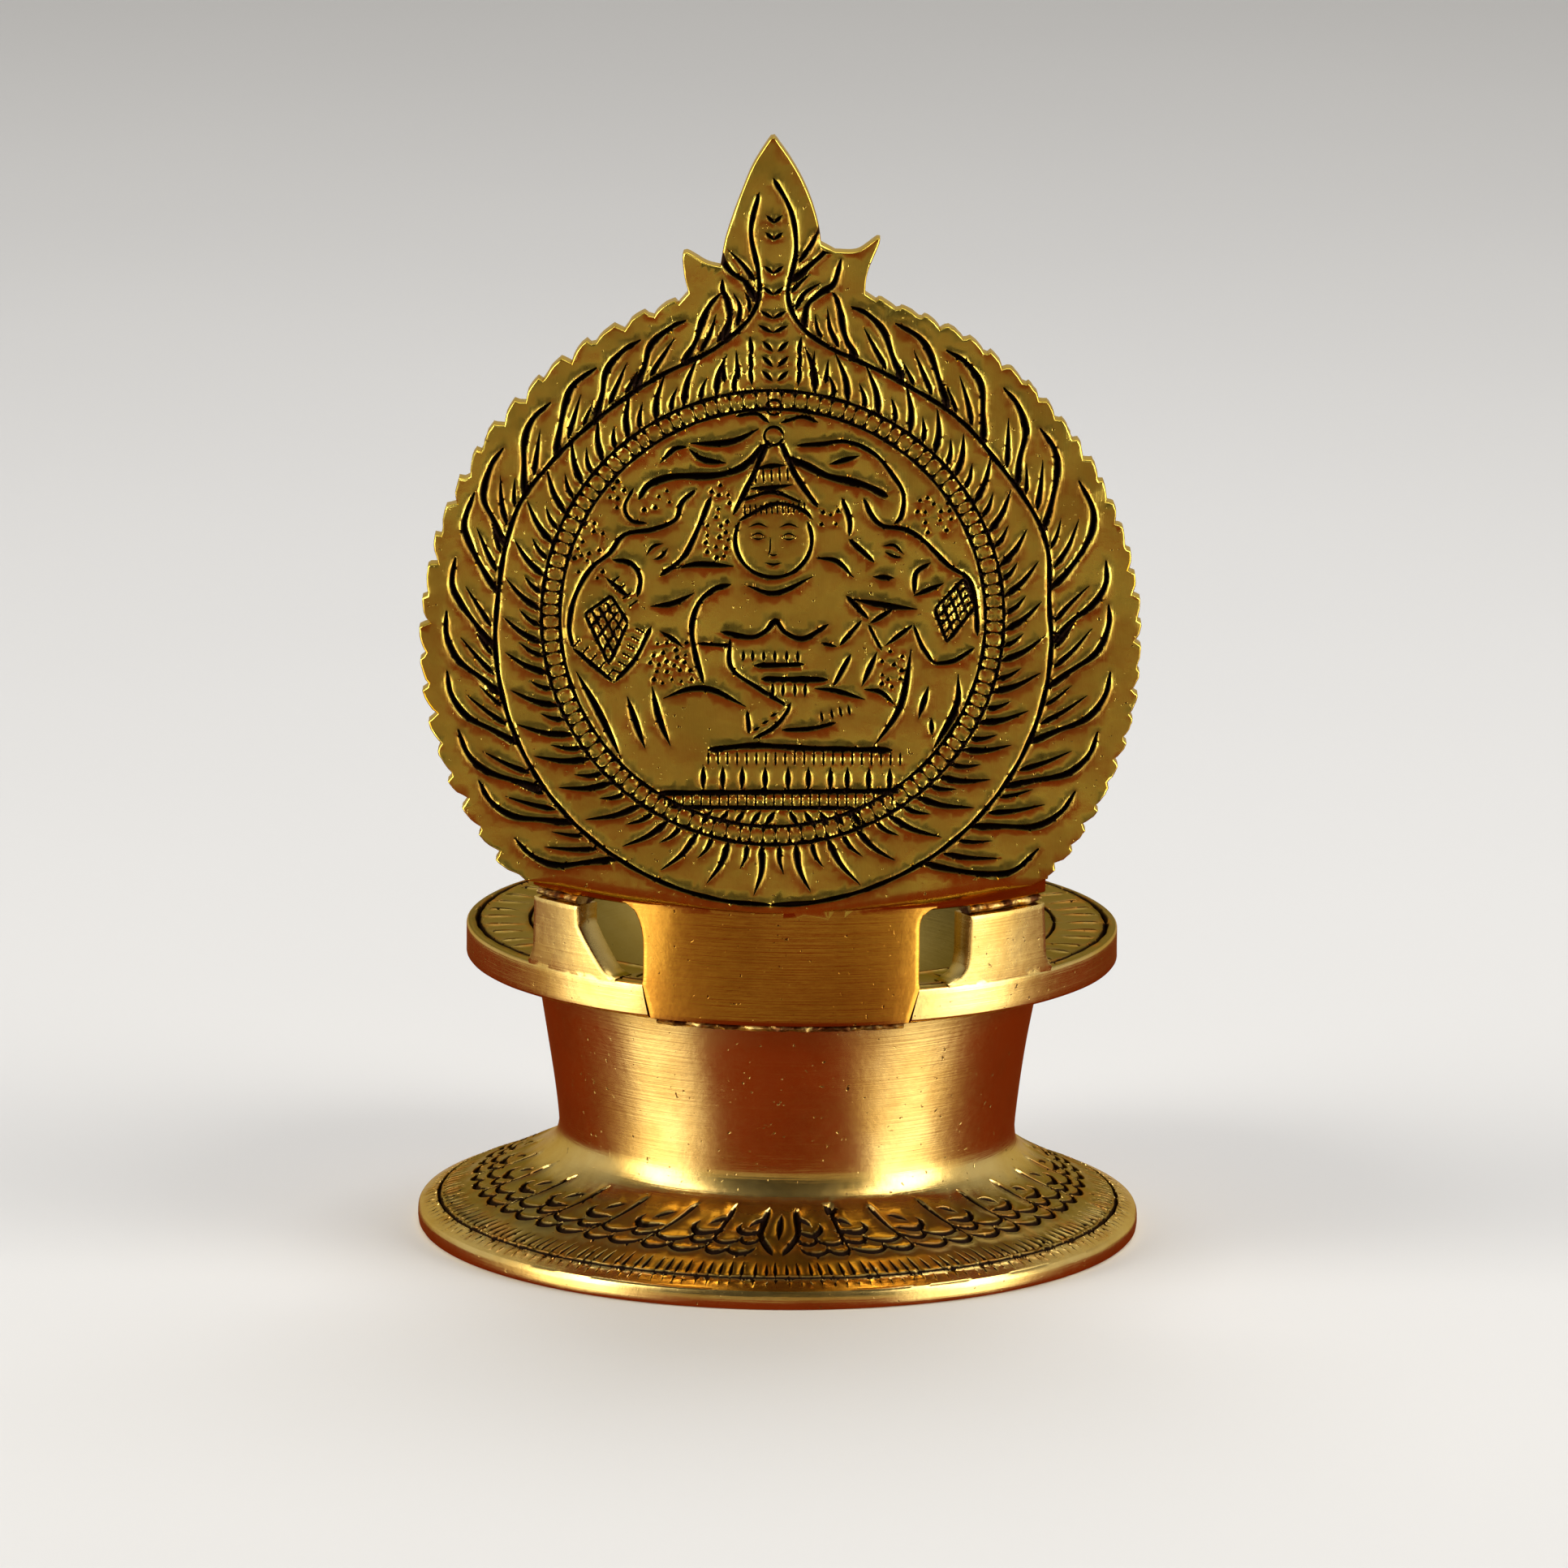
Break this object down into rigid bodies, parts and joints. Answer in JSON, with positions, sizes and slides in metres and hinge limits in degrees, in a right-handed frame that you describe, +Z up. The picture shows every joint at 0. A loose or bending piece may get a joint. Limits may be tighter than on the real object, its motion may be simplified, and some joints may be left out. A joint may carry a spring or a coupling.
{
  "type": "brass oil lamp",
  "caption": "Cast-brass standing oil lamp with a flared engraved foot, an open round oil bowl and an upright engraved back plate.",
  "frame": {"origin": "centre of the foot, on the surface that the lamp stands on", "axes": "+Z up; the engraved back plate faces -Y; the wick beak of the bowl points to +Y"},
  "size_m": [0.088, 0.088, 0.14],
  "materials": {
    "foot_brass": "brushed and polished, black patina in the cuts",
    "bowl_brass": "satin, brushed outside, black patina in the cuts",
    "plate_brass": "satin, hand-engraved, black patina in the cuts",
    "braze": "rough as-run braze"
  },
  "bodies": {
    "root": {"foot": "foot_brass", "oil_bowl": "bowl_brass", "back_plate": "plate_brass", "braze_post_left": "braze", "braze_post_right": "braze", "braze_tongue": "braze", "braze_bowl_ring": "braze"}
  },
  "joints": []
}
